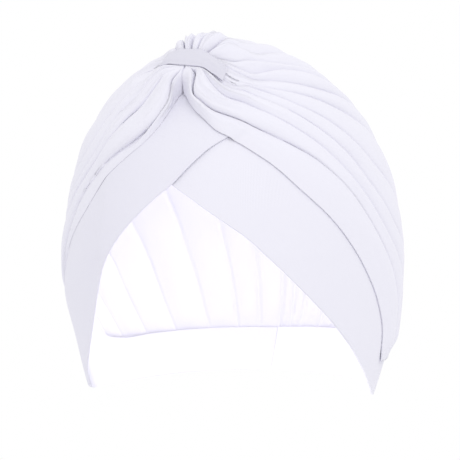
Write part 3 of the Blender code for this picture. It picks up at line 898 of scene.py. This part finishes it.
# %% Jersey material
# Metres from one wale to the next and from one course to the next, and how far wales bend a course
WALE, COURSE, COURSE_BEND = 0.0009, 0.0007, 1.2
# The slow noise and the fine one
STRETCH_SCALE, STRETCH_DETAIL, FIBRE_SCALE, FIBRE_DETAIL = 28.0, 3.0, 900.0, 2.0
# What wales and courses each make up of the knit
WALE_SHARE, COURSE_SHARE = 0.6, 0.4
# The colour starts at this share of the tone, and knit, stretch and fibres each draw it so far towards white
TONE_SHARE, KNIT_TINT, STRETCH_TINT, FIBRE_TINT, WHITE = 0.96, 0.05, 0.06, 0.05, (1.0, 1.0, 1.0, 1.0)
# What knit and fibres add to the bump, its strength, and its height in metres
KNIT_BUMP, FIBRE_BUMP, BUMP_STRENGTH, BUMP_DISTANCE = 0.7, 0.5, 0.25, 0.0002
ROUGHNESS, FIBRE_ROUGHNESS = 0.72, 0.16
SHEEN, SHEEN_ROUGHNESS, SPECULAR = 0.15, 0.5, 0.25
# A colour Mix node also has sockets for numbers and vectors, so its colour sockets go by their place
MIX_SHARE, MIX_FROM, MIX_TO, MIX_RESULT = 0, 6, 7, 2


def jersey(name, colour, turned=False):
    """Pale stretch jersey. Turned has its wales run across the piece instead of down it."""
    look = Look(name)
    place = look.node("ShaderNodeUVMap", {"uv_map": "cloth"}).outputs[0]
    parts = look.node("ShaderNodeSeparateXYZ", Vector=place)
    across, down = Value(parts.outputs[0]), Value(parts.outputs[1])
    if turned:
        across, down = down, across
    body = look.node("ShaderNodeTexCoord").outputs["Object"]
    slow = look.node("ShaderNodeTexNoise", Vector=body, Scale=STRETCH_SCALE, Detail=STRETCH_DETAIL)
    fine = look.node("ShaderNodeTexNoise", Vector=body, Scale=FIBRE_SCALE, Detail=FIBRE_DETAIL)
    stretch, fibres = Value(slow.outputs["Fac"]), Value(fine.outputs["Fac"])
    wales = (across * (math.pi / WALE)).sine().size()
    courses = (down * (math.pi / COURSE) + wales * COURSE_BEND).sine().size()
    knit = wales * WALE_SHARE + courses * COURSE_SHARE
    tint = look.node("ShaderNodeMix", {"data_type": "RGBA"})
    look.plug(tint.inputs[MIX_SHARE], knit * KNIT_TINT + stretch * STRETCH_TINT + fibres * FIBRE_TINT)
    look.plug(tint.inputs[MIX_FROM], (*[channel * TONE_SHARE for channel in colour], 1.0))
    look.plug(tint.inputs[MIX_TO], WHITE)
    height = knit * KNIT_BUMP + fibres * FIBRE_BUMP
    bump = look.node("ShaderNodeBump", Strength=BUMP_STRENGTH, Distance=BUMP_DISTANCE, Height=height)
    return look.finish(
        Base_Color=tint.outputs[MIX_RESULT],
        Roughness=ROUGHNESS + fibres * FIBRE_ROUGHNESS,
        Normal=bump.outputs[0],
        Sheen_Weight=SHEEN,
        Sheen_Roughness=SHEEN_ROUGHNESS,
        Specular_IOR_Level=SPECULAR,
    )


# %% Dress the pieces
# One cloth of one real tone. The differences between pieces are painted shade, set to how dark each looked
# in the light: the loop is painted darkest, and the over band comes next
CROWN_TONE, OVER_SHADED_TONE = (0.82, 0.81, 0.90), (0.785, 0.775, 0.87)
UNDER_TONE, LOOP_SHADED_TONE = (0.81, 0.80, 0.89), (0.68, 0.67, 0.765)

for piece, tone, turned in (
    (crown, CROWN_TONE, False),
    (band_over, OVER_SHADED_TONE, True),
    (band_under, UNDER_TONE, True),
    (loop, LOOP_SHADED_TONE, True),
):
    piece.data.materials.clear()
    piece.data.materials.append(jersey(piece.name + "_jersey", tone, turned))
    print(piece.name, "is", [round(size / MM, 1) for size in piece.dimensions], "mm")

# %% [markdown]
# ## What each piece is
# Every piece rides on the one body and takes its finish from the one material slot. Each is cloth, so the
# area of one of its faces is printed, which stands for the sheet before it was pleated, gathered and pulled
# over the head.

# %% Ride, replace and print the area
CLOTH_OF = {
    crown: ("crown_panel_left", "crown_panel_right"),
    band_over: ("front_band_over",),
    band_under: ("front_band_under",),
    loop: ("knot_loop",),
}


def cloth_area(piece):
    """Half the area of a thin closed sheet: one face of the cloth."""
    return sum(face.area for face in piece.data.polygons) / 2.0


for piece, nodes in CLOTH_OF.items():
    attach(piece, "root")
    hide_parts(*nodes)
    print(piece.name, "one face", round(cloth_area(piece), 4), "square metres")

# %% [markdown]
# ## Floor and light
# Pale cloth only looks pale in soft light from all round, so the world itself is white. One lamp high in
# front on the wearer's left draws the folds. Nothing fills the hollow, so a faint warm lamp inside it keeps
# the far wall from going grey. The floor lies far below and only returns a little light.

# %% Floor
FLOOR_SIZE, FLOOR_Z = 5.0, -0.42
FLOOR_COLOUR, FLOOR_ROUGHNESS = (0.95, 0.95, 0.96, 1.0), 0.8

bpy.ops.object.select_all(action="DESELECT")
bpy.ops.mesh.primitive_plane_add(size=FLOOR_SIZE, location=(0.0, 0.0, FLOOR_Z))
floor = bpy.context.object
floor.name = "floor"
floor.data.materials.append(Look("pale_floor").finish(Base_Color=FLOOR_COLOUR, Roughness=FLOOR_ROUGHNESS))

# %% Lights
WARM_WHITE = (1.0, 0.99, 0.92)

world = bpy.data.worlds.new("studio")
bpy.context.scene.world = world
world.use_nodes = True
sky = world.node_tree.nodes["Background"]
sky.inputs["Color"].default_value = WHITE
sky.inputs["Strength"].default_value = 1.0
bpy.context.scene.view_settings.view_transform = "Standard"


def area_light(name, place, target, size, power):
    """A square lamp, so many metres wide, that looks at a target."""
    light = bpy.data.lights.new(name, "AREA")
    light.size = size
    light.energy = power
    lamp = bpy.data.objects.new(name, light)
    bpy.context.scene.collection.objects.link(lamp)
    lamp.location = place
    lamp.rotation_euler = (Vector(target) - Vector(place)).to_track_quat("-Z", "Y").to_euler()
    print("lamp", name, "is", round((Vector(target) - Vector(place)).length, 2), "m from what it lights")
    return lamp


area_light("key", place=(0.6, -0.75, 0.95), target=(0.0, 0.0, -0.07), size=0.6, power=2.6)
inside = area_light("inside", place=(0.0, -0.03, -0.135), target=(0.0, 0.09, -0.09), size=0.08, power=0.085)
inside.data.color = WARM_WHITE
inside.visible_camera = False

# %% [markdown]
# ## Camera
# The camera stands where the photo's seems to have stood. It could be turned by hand until the view fits.
# Here it follows from a few measures: its angles, its distance, the scale and the pixel that shows the aim.

# %% Camera
AZIMUTH, ELEVATION, DISTANCE = math.radians(17.0), math.radians(-3.0), 1.0
AIM = Vector((0.0, 0.0, -0.075))
PICTURE_PX, AIM_PX_ACROSS, AIM_PX_DOWN, PX_PER_MM = 460.0, 229.05, 209.86, 2.068
SENSOR_MM = 36.0

level = math.cos(ELEVATION)
back = Vector((math.sin(AZIMUTH) * level, -math.cos(AZIMUTH) * level, math.sin(ELEVATION)))
camera_data = bpy.data.cameras.new("camera")
camera_data.sensor_width = SENSOR_MM
camera_data.lens = SENSOR_MM * PX_PER_MM * (DISTANCE / MM) / PICTURE_PX
camera_data.shift_x = (PICTURE_PX / 2 - AIM_PX_ACROSS) / PICTURE_PX
camera_data.shift_y = (AIM_PX_DOWN - PICTURE_PX / 2) / PICTURE_PX
camera = bpy.data.objects.new("camera", camera_data)
bpy.context.scene.collection.objects.link(camera)
camera.location = AIM + back * DISTANCE
camera.rotation_euler = (-back).to_track_quat("-Z", "Y").to_euler()
bpy.context.scene.camera = camera
print("camera at", [round(value, 3) for value in camera.location])
